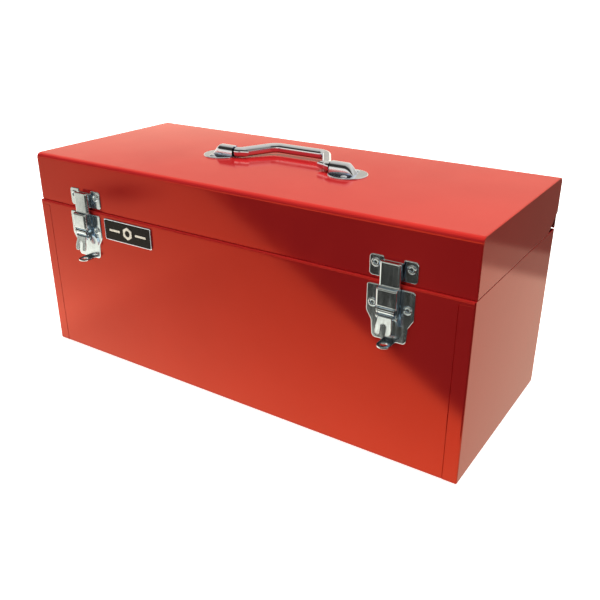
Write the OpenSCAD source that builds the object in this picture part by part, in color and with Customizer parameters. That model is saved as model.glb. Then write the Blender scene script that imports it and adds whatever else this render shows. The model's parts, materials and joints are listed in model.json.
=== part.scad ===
// Steel hand-carry tool box: folded sheet body, hinged flat-top lid, two draw latches,
// a drop handle and a lift-out tote tray. Millimetres, +Z up.
// The origin is the middle of the face that the box stands on. +X runs along the front, +Y to the back.

/* [Box] */
// Width of the box along the front
box_w = 511; // [420:1:600]
// Depth of the body, front face to back face
box_d = 213; // [180:1:260]
// Height of the body up to the ledge under the lid
body_h = 174; // [150:1:220]
// Height of the lid above the body
lid_h = 52; // [48:1:70]
// Sheet thickness of body, lid and tray
sheet = 0.9; // [0.7:0.1:1.2]
// How far the lid stands back from the front face
lid_back = 2.9; // [2.5:0.1:4]
// Outside radius of the lid's long top edges
lid_r = 5.5; // [4:0.5:8]
// Width of the end panels' flanges
flange_w = 13.5; // [10:0.5:18]

/* [Hinge] */
// Length of the continuous hinge
hinge_len = 480; // [360:12:480]
// Number of knuckles, both leaves together
knuckles = 12; // [8:2:16]
// Outside radius of a knuckle
knuckle_r = 2.5; // [2.3:0.1:2.6]
// Radius of the hinge pin
hinge_pin_r = 1; // [0.8:0.1:1.2]

/* [Latches] */
// Distance of each latch from the middle of the box
latch_x = 183; // [120:1:200]
// Half width of the strike and base plates
plate_half = 22.3; // [20:0.1:24]
// Half width of the raised claw
claw_half = 9.5; // [9.2:0.1:9.8]
// Thickness of the latch stampings
latch_t = 1.1; // [1:0.05:1.2]

/* [Handle] */
// Distance between the handle's two elbows
handle_span = 108; // [100:1:120]
// Length of the straight grip between the bends
grip_len = 65; // [50:1:80]
// Reach of the grip from its pivot line
handle_reach = 35; // [30:1:40]
// Radius of the grip bar
grip_r = 5; // [4:0.1:5.2]

/* [Badge] */
// Width of the badge
badge_w = 67; // [40:1:80]
// Height of the badge
badge_h = 23; // [15:1:26]
// Middle of the badge from the middle of the box
badge_x = -120.5; // [-140:0.5:-90]

/* [Tray] */
// Length of the tray
tray_l = 500; // [420:1:502]
// Depth of the tray
tray_d = 195; // [150:1:196]
// Height of the tray walls
tray_h = 46; // [30:1:50]
// Height of the shelf that the tray rests on
rest_z = 118; // [100:1:125]

/* [Hidden] */
$fn = 48;

// finishes
red_paint = [0.78, 0.12, 0.08];
bright_nickel = [0.80, 0.81, 0.80];
chrome = [0.85, 0.86, 0.88];
zinc = [0.62, 0.63, 0.64];
black_enamel = [0.04, 0.04, 0.05];

// body
half_w = box_w / 2;
half_d = box_d / 2;
bend_r = 2;
corner_r = 1.6;
front_y = -half_d;
end_in = half_w - sheet;
// the strip stops short of the end panels' rounded inside corners
strip_end = end_in - (corner_r - sheet) - 0.1;
flange_top = body_h - 4.6;
flange_gap = 0.6;
joggle_x = half_w - flange_w - flange_gap;
run_gap = 0.05;
lip_h = 7.5;

// lid
lid_gap = 0.4;
lid_front = front_y + lid_back;
lid_rear = lid_front + box_d;
lid_low = body_h + lid_gap;
lid_top = body_h + lid_h;
lip_y = lid_front + sheet + 0.5;
cap_flange = 9;
cap_cut_y = 25;
cap_cut_z = 16;

// hinge
hinge_y = half_d + 0.3;
hinge_z = body_h;
wall_clear = 0.4;
back_top = hinge_z - knuckle_r - wall_clear;
lid_wall_low = hinge_z + knuckle_r + wall_clear + 0.1;
leaf_h = 12;
knuckle_gap = 0.4;
neck_in = 1.3;

// latch, measured from the body's front face (y) and the floor (z)
plate_t = latch_t;
strike_low = 176.3;
strike_high = 195.5;
rivet_dx = 16.2;
strike_rivet_z = 188.5;
base_rivet_z = 153.5;
rivet_r = 1.6;
pivot = [front_y - 7, 151.5];
link = [front_y - 6.5, 145.5];
latch_pin_r = 1.5;
upper_y = front_y - 5.6;
lower_y = front_y - 10.5;
step_z = 171.5;
claw_low = 155.5;
claw_high = 193.4;
eye_y = front_y - 8.7;
eye_z = 119.4;
eye_r = 3.3;
tongue_tilt = 13;

// handle
handle_y = 0.5;
pivot_h = 5.5;
grip_rise = 1.5;
handle_pin_r = 2.9;
elbow_x = handle_span / 2;
top_bend = 14;
elbow_bend = 9;
bend_swell = 0.15;
run_in = 0.4;
bracket_in = elbow_x + 6.2;
bridge_l = 18;
bridge_r = 6.4;
foot_r = 20;
foot_t = 1.4;
foot_x = bracket_in + 18;
handle_rivet_x = foot_x + 3;
handle_rivet_dy = 12.6;
doubler_t = 1.5;

// badge
badge_z = 158.6;
badge_t = 1.6;
badge_rim = 1.3;

// tray
tray_low = rest_z;
tray_top = rest_z + tray_h;
tray_tube_r = 6;
tray_tube_z = tray_top + 12;
ear_half = 30;
rest_w = 14;

// ---- shared shapes ----

// lays a drawing in the Y-Z plane and pulls it along X from x0 to x1
module along_x(x0, x1) {
    translate([x0, 0, 0])
        rotate([90, 0, 90])
            linear_extrude(x1 - x0)
                children();
}

// a round bar along X
module bar_x(x0, x1, r, y, z) {
    translate([x0, y, z])
        rotate([0, 90, 0])
            cylinder(r = r, h = x1 - x0);
}

// a round bar along Y, from y0 back to y1
module bar_y(x, z, r, y0, y1) {
    translate([x, y1, z])
        rotate([90, 0, 0])
            cylinder(r = r, h = y1 - y0);
}

// a rectangle from one corner to the other
module rect(y0, z0, y1, z1) {
    translate([y0, z0])
        square([y1 - y0, z1 - z0]);
}

// a rectangle whose four corners are round
module round_rect(y0, z0, y1, z1, r) {
    rect(y0 + r, z0, y1 - r, z1);
    rect(y0, z0 + r, y1, z1 - r);
    for (y = [y0 + r, y1 - r])
        for (z = [z0 + r, z1 - r])
            translate([y, z])
                circle(r);
}

// a semi-tubular rivet along Y with its domed head towards the front
module rivet_y(x, z, y_face, grip) {
    head_r = 3.6;
    tail_r = 2.6;
    difference() {
        union() {
            bar_y(x, z, head_r, y_face - 0.8, y_face);
            bar_y(x, z, head_r - 0.9, y_face - 1.4, y_face - 0.8);
            bar_y(x, z, rivet_r, y_face, y_face + grip);
            bar_y(x, z, tail_r, y_face + grip, y_face + grip + 1);
        }
        bar_y(x, z, 1.2, y_face - 2, y_face - 0.4);
    }
}

module rivet_hole_y(x, z) {
    bar_y(x, z, rivet_r + run_gap, front_y - 20, front_y + 20);
}

// ---- body ----

// the body's folded strip seen from the end; inset sets it in under the flanges
module wrap_outline(inset, t) {
    difference() {
        union() {
            round_rect(front_y + inset, inset, half_d - inset, body_h, bend_r);
            rect(half_d - 10, body_h - 10, half_d - inset, body_h);
            rect(lip_y, body_h - 4, lip_y + sheet, body_h + lip_h);
        }
        round_rect(front_y + inset + t, inset + t, half_d - inset - t, body_h - sheet, bend_r - sheet);
        rect(lip_y + sheet, body_h - 12, half_d + 1, body_h + 1);
        rect(half_d - 14, back_top, half_d + 1, body_h + 1);
    }
    // the back wall above the cut that opens the top
    rect(half_d - inset - t, body_h - 14, half_d - inset, back_top);
}

module wrap_front_only() {
    intersection() {
        wrap_outline(0, sheet);
        rect(front_y - 1, flange_top, 0, body_h + lip_h + 1);
    }
}

module wrap_end_outline() {
    intersection() {
        wrap_outline(sheet, sheet);
        union() {
            rect(front_y, 0, 0, flange_top + sheet);
            rect(0, 0, half_d, back_top + 1);
        }
    }
    wrap_front_only();
}

module body_wrap() {
    color(red_paint)
        difference() {
            union() {
                along_x(-joggle_x, joggle_x)
                    wrap_outline(0, sheet);
                for (side = [-1, 1]) {
                    along_x(side * joggle_x - sheet / 2, side * joggle_x + sheet / 2)
                        wrap_outline(0, sheet * 2);
                    along_x(side < 0 ? -strip_end : joggle_x, side < 0 ? -joggle_x : strip_end)
                        wrap_end_outline();
                    along_x(side < 0 ? -end_in : joggle_x, side < 0 ? -joggle_x : end_in)
                        wrap_front_only();
                }
            }
            for (x = [-latch_x, latch_x])
                for (dx = [-rivet_dx, rivet_dx])
                    rivet_hole_y(x + dx, base_rivet_z);
        }
}

// one end panel: a flat end with flanges lapped over front, back and bottom
module body_end() {
    flange_in = half_w - flange_w;
    difference() {
        union() {
            linear_extrude(flange_top)
                difference() {
                    round_rect(-half_w, front_y, half_w, half_d, corner_r);
                    round_rect(-end_in, front_y + sheet, end_in, half_d - sheet, corner_r - sheet);
                }
            translate([0, 0, flange_top])
                linear_extrude(body_h - flange_top)
                    intersection() {
                        round_rect(-half_w, front_y, half_w, half_d, corner_r);
                        union() {
                            rect(end_in, -half_d, half_w, half_d);
                            rect(flange_in, half_d - sheet, half_w, half_d);
                        }
                    }
            translate([flange_in, front_y + sheet / 2, 0])
                cube([flange_w - sheet / 2, box_d - sheet, sheet]);
        }
        translate([-half_w - 1, front_y - 1, -1])
            cube([half_w + flange_in + 1, box_d + 2, body_h + 2]);
    }
}

module body_end_right() {
    color(red_paint)
        body_end();
}

module body_end_left() {
    color(red_paint)
        mirror([1, 0, 0])
            body_end();
}

module tray_rest() {
    along = 180;
    translate([end_in - sheet, -along / 2, rest_z - rest_w])
        cube([sheet, along, rest_w]);
    translate([end_in - rest_w, -along / 2, rest_z - sheet])
        cube([rest_w, along, sheet]);
}

module tray_rest_right() {
    color(red_paint)
        tray_rest();
}

module tray_rest_left() {
    color(red_paint)
        mirror([1, 0, 0])
            tray_rest();
}

// ---- hinge ----

// one leaf: strip, necks and every second knuckle; first is 0 or 1
module hinge_leaf(first, y0, y1, up) {
    pitch = hinge_len / knuckles;
    strip_near = knuckle_r + wall_clear;
    difference() {
        union() {
            translate([-hinge_len / 2, y0, up > 0 ? hinge_z + strip_near : hinge_z - leaf_h])
                cube([hinge_len, y1 - y0, leaf_h - strip_near]);
            for (i = [first : 2 : knuckles - 1]) {
                x0 = -hinge_len / 2 + i * pitch + knuckle_gap / 2;
                x1 = x0 + pitch - knuckle_gap;
                bar_x(x0, x1, knuckle_r, hinge_y, hinge_z);
                translate([x0, y0, up > 0 ? hinge_z + neck_in : hinge_z - strip_near - 1])
                    cube([x1 - x0, y1 - y0, strip_near + 1 - neck_in]);
            }
        }
        bar_x(-half_w, half_w, hinge_pin_r + run_gap, hinge_y, hinge_z);
    }
}

module hinge_leaf_body() {
    color(red_paint)
        hinge_leaf(0, half_d, half_d + sheet, -1);
}

module hinge_leaf_lid() {
    color(red_paint)
        hinge_leaf(1, lid_rear - 2 * sheet, lid_rear - sheet, 1);
}

module hinge_pin() {
    color(zinc)
        bar_x(-hinge_len / 2 - 1, hinge_len / 2 + 1, hinge_pin_r, hinge_y, hinge_z);
}

// ---- badge ----

module badge_frame() {
    color(chrome)
        translate([badge_x, front_y, badge_z])
            rotate([90, 0, 0])
                difference() {
                    linear_extrude(badge_t)
                        round_rect(-badge_w / 2, -badge_h / 2, badge_w / 2, badge_h / 2, 2);
                    translate([0, 0, badge_t / 2])
                        linear_extrude(badge_t)
                            round_rect(-badge_w / 2 + badge_rim, -badge_h / 2 + badge_rim,
                                badge_w / 2 - badge_rim, badge_h / 2 - badge_rim, 1);
                }
}

// the enamel insert carries a plain hexagon nut between two bars
module badge_panel() {
    slack = 0.1;
    color(black_enamel)
        translate([badge_x, front_y - badge_t / 2, badge_z])
            rotate([90, 0, 0]) {
                linear_extrude(0.5)
                    round_rect(-badge_w / 2 + badge_rim + slack, -badge_h / 2 + badge_rim + slack,
                        badge_w / 2 - badge_rim - slack, badge_h / 2 - badge_rim - slack, 0.9);
                linear_extrude(0.8) {
                    difference() {
                        circle(r = 7, $fn = 6);
                        circle(r = 3.4);
                    }
                    for (side = [-1, 1])
                        translate([side * 18.5, 0])
                            square([15, 2.4], center = true);
                }
            }
}

// ---- latches ----

// the latch base plate: wings, a waist and a narrow foot
module base_outline() {
    plate_top = 170.5;
    waist_z = 145;
    difference() {
        union() {
            round_rect(-plate_half, waist_z - 2, plate_half, plate_top, 2);
            polygon([[-plate_half, waist_z], [plate_half, waist_z], [17.4, 137], [16, 123],
                [14, 121], [-14, 121], [-16, 123], [-17.4, 137]]);
            rect(-6.4, eye_z - 0.4, 6.4, 122);
        }
        for (dx = [-rivet_dx, rivet_dx])
            translate([dx, base_rivet_z])
                circle(rivet_r + run_gap);
    }
}

module latch_base() {
    cheek_in = 6.9;
    cheek_t = 1.2;
    cheek_r = 3.4;
    difference() {
        union() {
            translate([0, front_y, 0])
                rotate([90, 0, 0])
                    linear_extrude(plate_t)
                        base_outline();
            // cheeks that carry the pivot pin
            for (x = [-cheek_in - cheek_t, cheek_in])
                along_x(x, x + cheek_t) {
                    translate(pivot)
                        circle(cheek_r);
                    rect(pivot.x, pivot.y - cheek_r, front_y - plate_t / 2, pivot.y + cheek_r);
                }
            // padlock eye, bent out square from the foot of the plate
            translate([0, 0, eye_z])
                linear_extrude(1.8)
                    union() {
                        translate([0, eye_y])
                            circle(6.4);
                        rect(-6.4, eye_y, 6.4, front_y - plate_t / 2);
                    }
        }
        bar_x(-20, 20, latch_pin_r, pivot.x, pivot.y);
        translate([0, eye_y, eye_z - 5])
            cylinder(r = eye_r, h = 12);
    }
}

module latch_base_left() {
    color(bright_nickel)
        translate([-latch_x, 0, 0])
            latch_base();
}

module latch_base_right() {
    color(bright_nickel)
        translate([latch_x, 0, 0])
            latch_base();
}

module latch_base_rivets() {
    color(bright_nickel)
        for (x = [-latch_x, latch_x])
            for (dx = [-rivet_dx, rivet_dx])
                rivet_y(x + dx, base_rivet_z, front_y - plate_t, plate_t + sheet);
}

module latch_pivot_pins() {
    color(bright_nickel)
        for (x = [-latch_x, latch_x])
            bar_x(x - 8.2, x + 8.2, latch_pin_r, pivot.x, pivot.y);
}

// strike on the lid: a plate with two ears and a hollow catch block in the middle
module latch_strike() {
    block_half = 7.5;
    block_low = 177;
    block_high = 192;
    notch_half = 9;
    block_y = front_y - 3.4;
    difference() {
        union() {
            translate([0, lid_front, 0])
                rotate([90, 0, 0])
                    linear_extrude(plate_t)
                        round_rect(-plate_half, strike_low, plate_half, strike_high, 3);
            translate([-block_half, block_y, block_low])
                cube([2 * block_half, lid_front - plate_t / 2 - block_y, block_high - block_low]);
        }
        translate([-block_half + plate_t, block_y + plate_t, block_low - 1])
            cube([2 * (block_half - plate_t), lid_front - 2 * plate_t - block_y, block_high - block_low]);
        // the plate dips between its two ears
        translate([-notch_half, lid_front - plate_t - 1, block_high + 0.3])
            cube([2 * notch_half, plate_t + 2, strike_high - block_high]);
        for (dx = [-rivet_dx, rivet_dx])
            rivet_hole_y(dx, strike_rivet_z);
    }
}

module latch_strike_left() {
    color(bright_nickel)
        translate([-latch_x, 0, 0])
            latch_strike();
}

module latch_strike_right() {
    color(bright_nickel)
        translate([latch_x, 0, 0])
            latch_strike();
}

module latch_strike_rivets() {
    color(bright_nickel)
        for (x = [-latch_x, latch_x])
            for (dx = [-rivet_dx, rivet_dx])
                rivet_y(x + dx, strike_rivet_z, lid_front - plate_t, plate_t + sheet);
}

// lever: a barrel on the pivot pin, a link barrel below it and a forked tongue
module latch_lever() {
    half = 6.6;
    tongue_t = 1.5;
    tongue_len = 15;
    fork_half = 2.6;
    difference() {
        union() {
            bar_x(-half, half, 3.4, pivot.x, pivot.y);
            bar_x(-half, half, 2.9, link.x, link.y);
            translate([0, link.x - 2, link.y])
                rotate([-tongue_tilt, 0, 0])
                    translate([0, 0, -tongue_len])
                        rotate([90, 0, 0])
                            linear_extrude(tongue_t)
                                difference() {
                                    union() {
                                        rect(-half, 4, half, tongue_len + 1);
                                        round_rect(-half - 0.9, 0, half + 0.9, 10, 2.5);
                                    }
                                    rect(-fork_half, -1, fork_half, 7);
                                    translate([0, 7])
                                        circle(fork_half);
                                }
        }
        bar_x(-20, 20, latch_pin_r + run_gap, pivot.x, pivot.y);
        bar_x(-20, 20, latch_pin_r, link.x, link.y);
    }
}

module latch_lever_left() {
    color(bright_nickel)
        translate([-latch_x, 0, 0])
            latch_lever();
}

module latch_lever_right() {
    color(bright_nickel)
        translate([latch_x, 0, 0])
            latch_lever();
}

module latch_link_pin_left() {
    color(bright_nickel)
        bar_x(-latch_x - 10.1, -latch_x + 10.1, latch_pin_r, link.x, link.y);
}

module latch_link_pin_right() {
    color(bright_nickel)
        bar_x(latch_x - 10.1, latch_x + 10.1, latch_pin_r, link.x, link.y);
}

// side of the claw: a deep lower step, a shallow upper one and a round end on the link pin
module claw_side() {
    back_y = front_y - 1.9;
    arm_r = 3.6;
    rect(lower_y, claw_low, back_y, step_z);
    rect(upper_y, claw_low, back_y, claw_high);
    rect(link.x - arm_r, link.y, link.x + arm_r, claw_low + 1);
    translate(link)
        circle(arm_r);
}

module latch_claw() {
    wall = 1;
    difference() {
        along_x(-claw_half, claw_half)
            claw_side();
        // hollow behind the front walls, open to the back and to the bottom
        along_x(-claw_half + wall, claw_half - wall) {
            rect(lower_y + latch_t, 130, front_y, step_z - latch_t);
            rect(lower_y - 1, 130, front_y, claw_low);
            rect(upper_y + latch_t, 150, front_y, claw_high + 1);
        }
        bar_x(-20, 20, latch_pin_r + run_gap, link.x, link.y);
    }
}

module latch_claw_left() {
    color(bright_nickel)
        translate([-latch_x, 0, 0])
            latch_claw();
}

module latch_claw_right() {
    color(bright_nickel)
        translate([latch_x, 0, 0])
            latch_claw();
}

// ---- lid ----

// the lid's section with round top edges, grown inwards by inset
module lid_outline(inset) {
    r = lid_r - inset;
    y0 = lid_front + inset;
    y1 = lid_rear - inset;
    z1 = lid_top - inset;
    rect(y0, lid_low, y1, z1 - r);
    rect(y0 + r, lid_low, y1 - r, z1);
    for (y = [y0 + r, y1 - r])
        translate([y, z1 - r])
            circle(r);
}

module lid_wrap() {
    color(red_paint)
        difference() {
            along_x(-end_in, end_in)
                difference() {
                    lid_outline(0);
                    lid_outline(sheet);
                    rect(lid_rear - 8, 0, lid_rear + 1, lid_wall_low);
                    rect(lid_front + sheet, 0, lid_rear - sheet, lid_low + 8);
                }
            for (x = [-latch_x, latch_x])
                for (dx = [-rivet_dx, rivet_dx])
                    rivet_hole_y(x + dx, strike_rivet_z);
            handle_rivet_holes();
        }
}

// lid end: a flat cap whose rear lower corner is cut back to the flange, and flanges inside the wrap
module lid_end() {
    difference() {
        union() {
            along_x(end_in, half_w)
                lid_outline(0);
            along_x(end_in - cap_flange, end_in)
                difference() {
                    lid_outline(sheet);
                    lid_outline(2 * sheet);
                    rect(lid_front + 2 * sheet, 0, lid_rear - 2 * sheet, lid_low + 8);
                    rect(lid_front, 0, lip_y + sheet + 2, lid_low + lip_h + 2);
                }
        }
        along_x(end_in, half_w + 1)
            polygon([[lid_rear - cap_cut_y, lid_low - 1], [lid_rear + 1, lid_low - 1],
                [lid_rear + 1, lid_low + cap_cut_z], [lid_rear, lid_low + cap_cut_z],
                [lid_rear - cap_cut_y, lid_low]]);
    }
}

module lid_end_right() {
    color(red_paint)
        lid_end();
}

module lid_end_left() {
    color(red_paint)
        mirror([1, 0, 0])
            lid_end();
}

// ---- handle ----

module handle_rivet_holes() {
    for (x = [-handle_rivet_x, handle_rivet_x])
        for (dy = [-handle_rivet_dy, handle_rivet_dy])
            translate([x, handle_y + dy, lid_top - 10])
                cylinder(r = rivet_r + run_gap, h = 20);
}

module handle_doubler() {
    color(zinc)
        difference() {
            translate([-foot_x - 22, handle_y - 24, lid_top - sheet - doubler_t])
                cube([2 * foot_x + 44, 48, doubler_t]);
            handle_rivet_holes();
        }
}

// bracket: a round foot and a bridge with the bore that the handle's end turns in
module handle_bracket() {
    difference() {
        union() {
            translate([0, handle_y, lid_top])
                linear_extrude(foot_t)
                    intersection() {
                        translate([foot_x, 0])
                            circle(foot_r);
                        rect(bracket_in, -foot_r, foot_x + foot_r, foot_r);
                    }
            along_x(bracket_in, bracket_in + bridge_l) {
                translate([handle_y, lid_top + pivot_h])
                    circle(bridge_r);
                rect(handle_y - bridge_r, lid_top + foot_t / 2, handle_y + bridge_r, lid_top + pivot_h);
            }
            // slope from the bridge down to the foot
            translate([0, handle_y + bridge_r - 1, 0])
                rotate([90, 0, 0])
                    linear_extrude(2 * bridge_r - 2)
                        polygon([[bracket_in + bridge_l - 1, lid_top + foot_t / 2],
                            [bracket_in + bridge_l - 1, lid_top + pivot_h + 5],
                            [bracket_in + bridge_l + 1, lid_top + pivot_h + 4.4],
                            [bracket_in + bridge_l + 8, lid_top + foot_t / 2]]);
        }
        translate([0, -half_d, lid_top - 10])
            cube([half_w, box_d, 10]);
        bar_x(0, bracket_in + bridge_l - 2, handle_pin_r + run_gap, handle_y, lid_top + pivot_h);
        handle_rivet_holes();
    }
}

module handle_bracket_right() {
    color(chrome)
        handle_bracket();
}

module handle_bracket_left() {
    color(chrome)
        mirror([1, 0, 0])
            handle_bracket();
}

module handle_bracket_rivets() {
    grip = foot_t + sheet + doubler_t;
    color(chrome)
        for (x = [-handle_rivet_x, handle_rivet_x])
            for (dy = [-handle_rivet_dy, handle_rivet_dy])
                translate([x, handle_y + dy, lid_top + foot_t]) {
                    cylinder(r = 3.2, h = 0.8);
                    cylinder(r = 2.2, h = 1.4);
                    translate([0, 0, -grip])
                        cylinder(r = rivet_r, h = grip);
                    translate([0, 0, -grip - 1])
                        cylinder(r = 2.6, h = 1);
                }
}

// a piece of bent round bar, a little thicker than the straight bar that runs into it
module bar_bend(bend, from, turn) {
    rotate([0, 0, from])
        rotate_extrude(angle = turn)
            translate([bend, 0])
                circle(grip_r + bend_swell);
}

// one half of the handle in its own plane: half grip, bend, shoulder, elbow and end pin
module handle_half() {
    shoulder_run = elbow_x - grip_len / 2;
    turn = atan2(handle_reach, shoulder_run);
    cut_top = top_bend * tan(turn / 2);
    cut_low = elbow_bend * tan(turn / 2);
    shoulder_len = sqrt(shoulder_run * shoulder_run + handle_reach * handle_reach) - cut_top - cut_low;
    translate([-1, handle_reach, 0])
        rotate([0, 90, 0])
            cylinder(r = grip_r, h = grip_len / 2 - cut_top + run_in + 1);
    translate([grip_len / 2 - cut_top, handle_reach - top_bend, 0])
        bar_bend(top_bend, 90 - turn, turn);
    translate([grip_len / 2, handle_reach, 0])
        rotate([90, 0, 90 - turn])
            translate([0, 0, cut_top - run_in])
                cylinder(r = grip_r, h = shoulder_len + 2 * run_in);
    translate([elbow_x + cut_low, elbow_bend, 0])
        bar_bend(elbow_bend, 270 - turn, turn);
    translate([elbow_x + cut_low - run_in, 0, 0])
        rotate([0, 90, 0])
            cylinder(r = handle_pin_r, h = bracket_in + bridge_l - 3 - elbow_x - cut_low + run_in);
}

// drop handle, lying back on the lid
module handle_grip() {
    lean = asin(grip_rise / handle_reach);
    color(chrome)
        translate([0, handle_y, lid_top + pivot_h])
            rotate([lean, 0, 0]) {
                handle_half();
                mirror([1, 0, 0])
                    handle_half();
            }
}

// ---- tray ----

module tray_pan() {
    hem = 5;
    inside = tray_d / 2 - sheet;
    color(red_paint)
        along_x(-tray_l / 2 + sheet, tray_l / 2 - sheet) {
            difference() {
                round_rect(-tray_d / 2, tray_low, tray_d / 2, tray_top + 5, bend_r);
                round_rect(-inside, tray_low + sheet, inside, tray_top + 6, bend_r - sheet);
                rect(-tray_d, tray_top, tray_d, tray_top + 10);
            }
            for (side = [-1, 1])
                rect(side < 0 ? -tray_d / 2 : tray_d / 2 - hem, tray_top - sheet,
                    side < 0 ? -tray_d / 2 + hem : tray_d / 2, tray_top);
        }
}

// tray end with a raised ear that holds the carrying tube
module tray_end() {
    along_x(tray_l / 2 - sheet, tray_l / 2)
        difference() {
            union() {
                round_rect(-tray_d / 2, tray_low, tray_d / 2, tray_top, bend_r);
                polygon([[-ear_half, tray_top - 1], [ear_half, tray_top - 1],
                    [9, tray_tube_z + 5], [-9, tray_tube_z + 5]]);
                translate([0, tray_tube_z])
                    circle(10);
            }
            translate([0, tray_tube_z])
                circle(tray_tube_r + run_gap);
        }
}

module tray_end_right() {
    color(red_paint)
        tray_end();
}

module tray_end_left() {
    color(red_paint)
        mirror([1, 0, 0])
            tray_end();
}

module tray_handle_tube() {
    color(chrome)
        difference() {
            bar_x(-tray_l / 2 - 1, tray_l / 2 + 1, tray_tube_r, 0, tray_tube_z);
            bar_x(-tray_l, tray_l, tray_tube_r - 1, 0, tray_tube_z);
        }
}

body_wrap();
body_end_left();
body_end_right();
tray_rest_left();
tray_rest_right();
hinge_leaf_body();
hinge_pin();
badge_frame();
badge_panel();
latch_base_left();
latch_base_right();
latch_base_rivets();
latch_pivot_pins();
lid_wrap();
lid_end_left();
lid_end_right();
hinge_leaf_lid();
handle_doubler();
handle_bracket_left();
handle_bracket_right();
handle_bracket_rivets();
latch_strike_left();
latch_strike_right();
latch_strike_rivets();
handle_grip();
latch_lever_left();
latch_lever_right();
latch_link_pin_left();
latch_link_pin_right();
latch_claw_left();
latch_claw_right();
tray_pan();
tray_end_left();
tray_end_right();
tray_handle_tube();
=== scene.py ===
import json
import math
import bpy
import bmesh
import numpy as np
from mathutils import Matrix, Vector

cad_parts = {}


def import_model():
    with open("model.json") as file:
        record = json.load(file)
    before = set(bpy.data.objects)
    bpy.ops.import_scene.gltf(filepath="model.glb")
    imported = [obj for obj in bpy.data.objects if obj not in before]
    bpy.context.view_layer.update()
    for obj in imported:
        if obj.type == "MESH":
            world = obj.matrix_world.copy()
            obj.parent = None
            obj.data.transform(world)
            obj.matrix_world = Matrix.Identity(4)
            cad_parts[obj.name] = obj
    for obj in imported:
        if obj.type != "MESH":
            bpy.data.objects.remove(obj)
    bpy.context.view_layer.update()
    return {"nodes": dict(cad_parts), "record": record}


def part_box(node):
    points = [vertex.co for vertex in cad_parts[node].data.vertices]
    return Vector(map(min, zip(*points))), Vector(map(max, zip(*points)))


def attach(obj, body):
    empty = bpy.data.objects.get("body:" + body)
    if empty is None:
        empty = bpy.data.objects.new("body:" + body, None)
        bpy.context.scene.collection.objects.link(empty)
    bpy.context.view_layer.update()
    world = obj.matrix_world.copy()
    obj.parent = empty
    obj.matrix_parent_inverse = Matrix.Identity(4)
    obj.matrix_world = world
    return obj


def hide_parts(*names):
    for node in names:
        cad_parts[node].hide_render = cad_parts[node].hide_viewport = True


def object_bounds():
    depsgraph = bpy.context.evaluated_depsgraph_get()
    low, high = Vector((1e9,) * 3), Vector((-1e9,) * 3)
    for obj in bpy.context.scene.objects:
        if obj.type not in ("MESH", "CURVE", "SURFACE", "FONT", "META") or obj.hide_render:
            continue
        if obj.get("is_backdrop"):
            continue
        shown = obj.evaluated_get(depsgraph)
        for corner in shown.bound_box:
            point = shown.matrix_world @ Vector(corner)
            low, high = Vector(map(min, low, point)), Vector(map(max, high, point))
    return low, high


# Steel tool box. Everything below is in millimetres until makePiece turns it into metres.
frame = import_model()
mm = 0.001


def edges(node):
    # lowest and highest corner of a CAD node, in millimetres
    low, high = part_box(node)
    return np.array(low) / mm, np.array(high) / mm


bodyLow, bodyHigh = edges("body_end_right")
wrapHigh = edges("body_wrap")[1]
lidLow, lidHigh = edges("lid_end_right")
boxEnd = bodyHigh[0]
boxFront = bodyLow[1]
boxBack = bodyHigh[1]
boxRim = bodyHigh[2]
lidFront = lidLow[1]
lidBack = lidHigh[1]
lidTop = lidHigh[2]
sheetT = boxEnd - wrapHigh[0]
print("frame: box", bodyHigh - bodyLow, "sheet", round(sheetT, 3))


def filleted(corners, radii, closed=False, steps=8):
    # a line through the corners, each one replaced by an arc of its radius:
    # the arc starts r * tan(turn / 2) before the corner and swings round its own centre
    pts = [np.array(c, float) for c in corners]
    out = []
    for i, p in enumerate(pts):
        r = radii[i]
        if r <= 0 or (not closed and i in (0, len(pts) - 1)):
            out.append(p[None])
            continue
        a = pts[i - 1] - p
        b = pts[(i + 1) % len(pts)] - p
        la, lb = np.linalg.norm(a), np.linalg.norm(b)
        a, b = a / la, b / lb
        turn = math.pi - math.acos(np.clip(a @ b, -1, 1))
        cut = min(r * math.tan(turn / 2), 0.49 * la, 0.49 * lb)
        r = cut / math.tan(turn / 2)
        centre = p + (a + b) / np.linalg.norm(a + b) * (r / math.cos(turn / 2))
        start, end = p + a * cut - centre, p + b * cut - centre
        s = np.linspace(0, 1, steps + 1)[:, None]
        arc = (np.sin((1 - s) * turn) * start + np.sin(s * turn) * end) / math.sin(turn)
        out.append(centre + arc)
    return np.concatenate(out)


def lineNormals(line, closed=False):
    # unit normal to the right of the walking direction, stretched at corners to keep an offset line parallel
    before = np.roll(line, 1, 0)
    after = np.roll(line, -1, 0)
    if not closed:
        before[0], after[-1] = 2 * line[0] - line[1], 2 * line[-1] - line[-2]
    d0 = line - before
    d1 = after - line
    d0 /= np.linalg.norm(d0, axis=1)[:, None]
    d1 /= np.linalg.norm(d1, axis=1)[:, None]
    n0 = np.stack([d0[:, 1], -d0[:, 0]], 1)
    n1 = np.stack([d1[:, 1], -d1[:, 0]], 1)
    n = n0 + n1
    n /= np.linalg.norm(n, axis=1)[:, None]
    return n / np.clip((n * n0).sum(1), 0.3, 1)[:, None]


def gridFaces(rows, cols, wrapRows=False, wrapCols=False):
    # the quads between neighbouring points of a rows by cols grid
    r, c = np.meshgrid(np.arange(rows if wrapRows else rows - 1),
                       np.arange(cols if wrapCols else cols - 1), indexing="ij")
    r1, c1 = (r + 1) % rows, (c + 1) % cols
    return np.stack([r * cols + c, r * cols + c1, r1 * cols + c1, r1 * cols + c], -1).reshape(-1, 4)


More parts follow.
